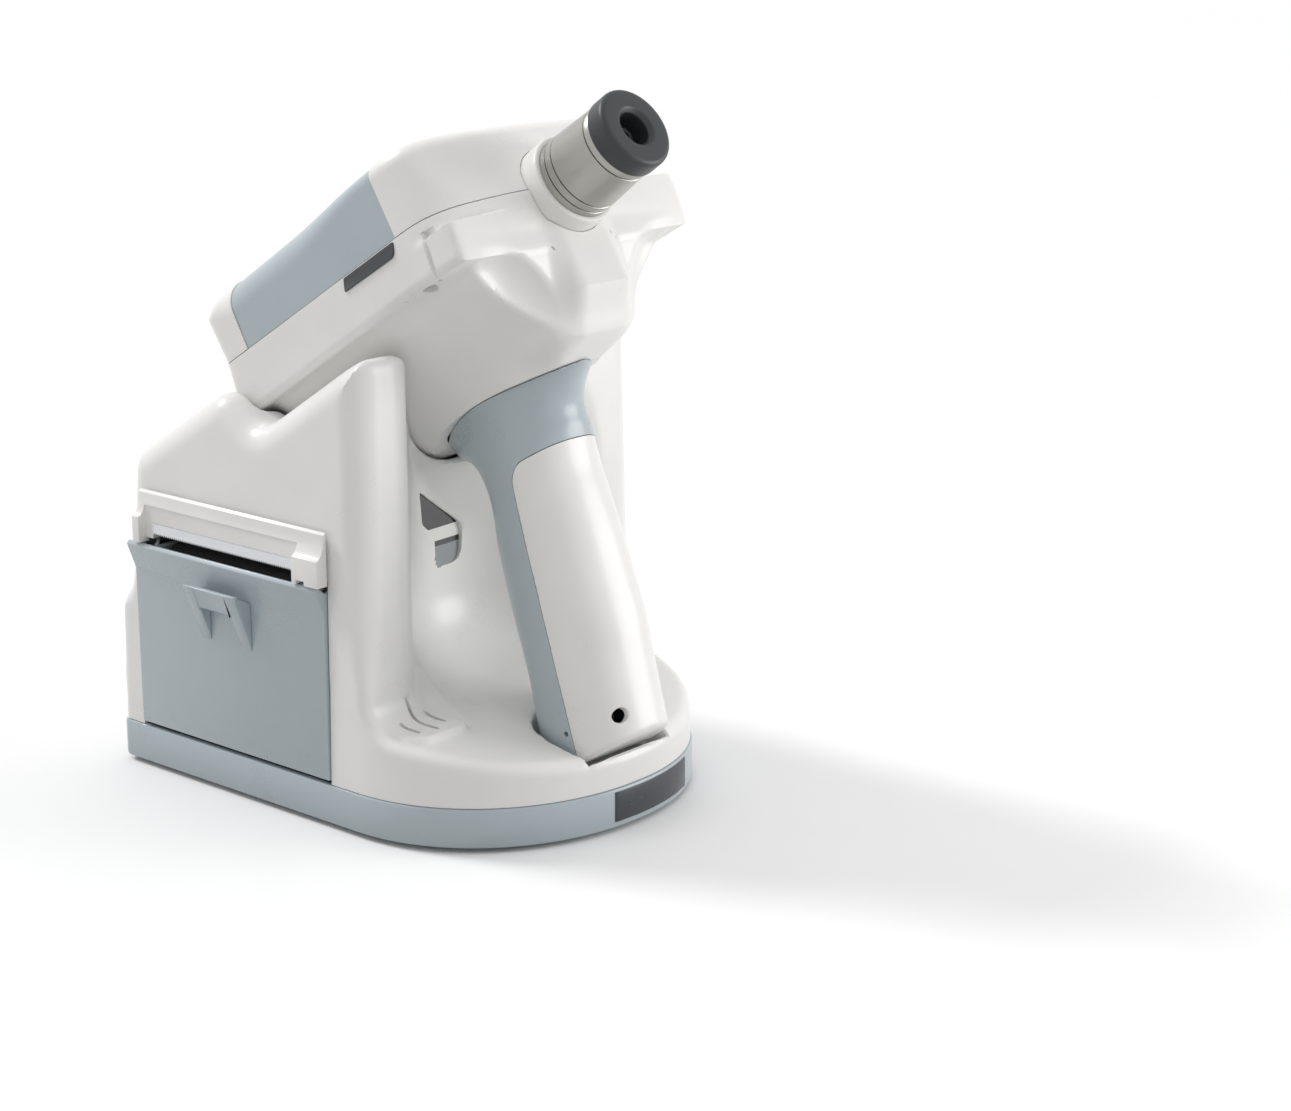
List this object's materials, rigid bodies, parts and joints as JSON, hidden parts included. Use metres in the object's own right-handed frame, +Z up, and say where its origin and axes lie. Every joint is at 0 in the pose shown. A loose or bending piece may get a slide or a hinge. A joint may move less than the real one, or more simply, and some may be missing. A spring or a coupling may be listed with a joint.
{
  "type": "hand-held tonometer with dock",
  "caption": "Pistol-grip air-puff tonometer standing in a charging dock with a built-in paper strip printer; handset lifts off, printer door drops open.",
  "frame": {"origin": "centre of the whole object's footprint, on the surface that the dock stands on", "axes": "+X towards the nozzle and the rounded nose of the dock, +Y towards the side away from the printer door, +Z up"},
  "size_m": [0.2212, 0.169, 0.281],
  "materials": {
    "shell_white": "satin moulded",
    "shell_blue": "satin moulded",
    "rubber": "matt",
    "steel": "brushed",
    "dark_plastic": "fine matt",
    "dark_glass": "polished",
    "light_pipe": "frosted",
    "circuit_board": "solder mask",
    "contact_metal": "polished",
    "barrel_metal": "satin anodised",
    "ring_plastic": "satin moulded",
    "clear_glass": "clear",
    "chassis_metal": "powder coat",
    "winding": "enamelled wire and tape",
    "paper": "thermal paper",
    "card": "card",
    "cell_wrap": "shrink wrap"
  },
  "bodies": {
    "dock": {"base_tray": "shell_blue", "rubber_feet": "rubber", "tray_screws": "steel", "dock_shell": "shell_white", "base_badge": "dark_plastic", "status_lights": "light_pipe", "infrared_window": "dark_glass", "dock_board": "circuit_board", "power_inlet": "dark_plastic", "contact_block": "dark_plastic", "printer_bezel": "shell_white", "tear_blade": "steel", "printer_frame": "steel", "print_head": "dark_plastic", "feed_motor": "barrel_metal", "roll_spindle": "steel", "door_hinge_pin": "steel"},
    "left_pin": {"charge_pin_left": "contact_metal"},
    "right_pin": {"charge_pin_right": "contact_metal"},
    "door": {"printer_door": "shell_blue", "door_pull": "shell_blue", "platen_bushes": "contact_metal"},
    "platen": {"platen_roller": "rubber", "platen_shaft": "steel", "platen_gear": "shell_white"},
    "idler": {"idler_gear": "shell_white"},
    "pinion": {"motor_pinion": "contact_metal"},
    "paper": {"paper_roll": "paper", "roll_core": "card"},
    "piston": {"piston": "contact_metal"},
    "menu_key": {"key_menu": "dark_plastic"},
    "back_key": {"key_back": "dark_plastic"},
    "up_key": {"key_up": "dark_plastic"},
    "down_key": {"key_down": "dark_plastic"},
    "handset": {"head_front_shell": "shell_white", "top_cover": "shell_blue", "rear_bezel": "shell_white", "head_lower_shell": "shell_white", "side_badge": "dark_plastic", "head_screws": "steel", "display_window": "dark_glass", "display_module": "circuit_board", "nozzle_ring": "ring_plastic", "nozzle_barrel": "barrel_metal", "nozzle_cap": "dark_plastic", "front_window": "clear_glass", "air_tube": "steel", "optics_chassis": "chassis_metal", "air_cylinder": "steel", "return_spring": "steel", "solenoid": "winding", "camera_module": "dark_plastic", "main_board": "circuit_board", "handle_body": "shell_blue", "battery_cover": "shell_white", "cover_screw": "steel", "battery_pack": "cell_wrap", "contact_pads": "contact_metal"}
  },
  "joints": [
    {"name": "handset_lift", "type": "slide", "parent": "dock", "child": "handset", "axis": [0, 0, 1], "range_m": [0, 0.12]},
    {"name": "door_hinge", "type": "hinge", "parent": "dock", "child": "door", "pos_m": [-0.04089, -0.0699, 0.0251], "axis": [1, 0, 0], "range_deg": [0, 80]},
    {"name": "platen_spin", "type": "hinge", "parent": "door", "child": "platen", "pos_m": [-0.04089, -0.0645, 0.0899], "axis": [1, 0, 0], "continuous": true},
    {"name": "idler_spin", "type": "hinge", "parent": "dock", "child": "idler", "pos_m": [0.00661, -0.0477, 0.0899], "axis": [1, 0, 0], "continuous": true},
    {"name": "pinion_spin", "type": "hinge", "parent": "dock", "child": "pinion", "pos_m": [0.00661, -0.03523, 0.0971], "axis": [1, 0, 0], "continuous": true},
    {"name": "roll_spin", "type": "hinge", "parent": "dock", "child": "paper", "pos_m": [-0.04089, -0.042, 0.05], "axis": [1, 0, 0], "continuous": true},
    {"name": "left_pin_slide", "type": "slide", "parent": "dock", "child": "left_pin", "axis": [0, 0, 1], "range_m": [-0.0015, 0], "stiffness_N_per_m": 200, "springref_m": 0.001},
    {"name": "right_pin_slide", "type": "slide", "parent": "dock", "child": "right_pin", "axis": [0, 0, 1], "range_m": [-0.0015, 0], "stiffness_N_per_m": 200, "springref_m": 0.001},
    {"name": "piston_slide", "type": "slide", "parent": "handset", "child": "piston", "axis": [0.8192, 0, 0.5736], "range_m": [0, 0.016], "stiffness_N_per_m": 150, "springref_m": -0.004, "deforming": ["return_spring"]},
    {"name": "menu_key_press", "type": "slide", "parent": "handset", "child": "menu_key", "axis": [0.9647, 0, 0.2635], "range_m": [0, 0.0012], "stiffness_N_per_m": 400, "springref_m": -0.0005},
    {"name": "back_key_press", "type": "slide", "parent": "handset", "child": "back_key", "axis": [0.9647, 0, 0.2635], "range_m": [0, 0.0012], "stiffness_N_per_m": 400, "springref_m": -0.0005},
    {"name": "up_key_press", "type": "slide", "parent": "handset", "child": "up_key", "axis": [0.9647, 0, 0.2635], "range_m": [0, 0.0012], "stiffness_N_per_m": 400, "springref_m": -0.0005},
    {"name": "down_key_press", "type": "slide", "parent": "handset", "child": "down_key", "axis": [0.9647, 0, 0.2635], "range_m": [0, 0.0012], "stiffness_N_per_m": 400, "springref_m": -0.0005}
  ],
  "couplings": [
    {"joint": "idler_spin", "follows": "platen_spin", "ratio": -0.75},
    {"joint": "pinion_spin", "follows": "platen_spin", "ratio": 1.5}
  ]
}
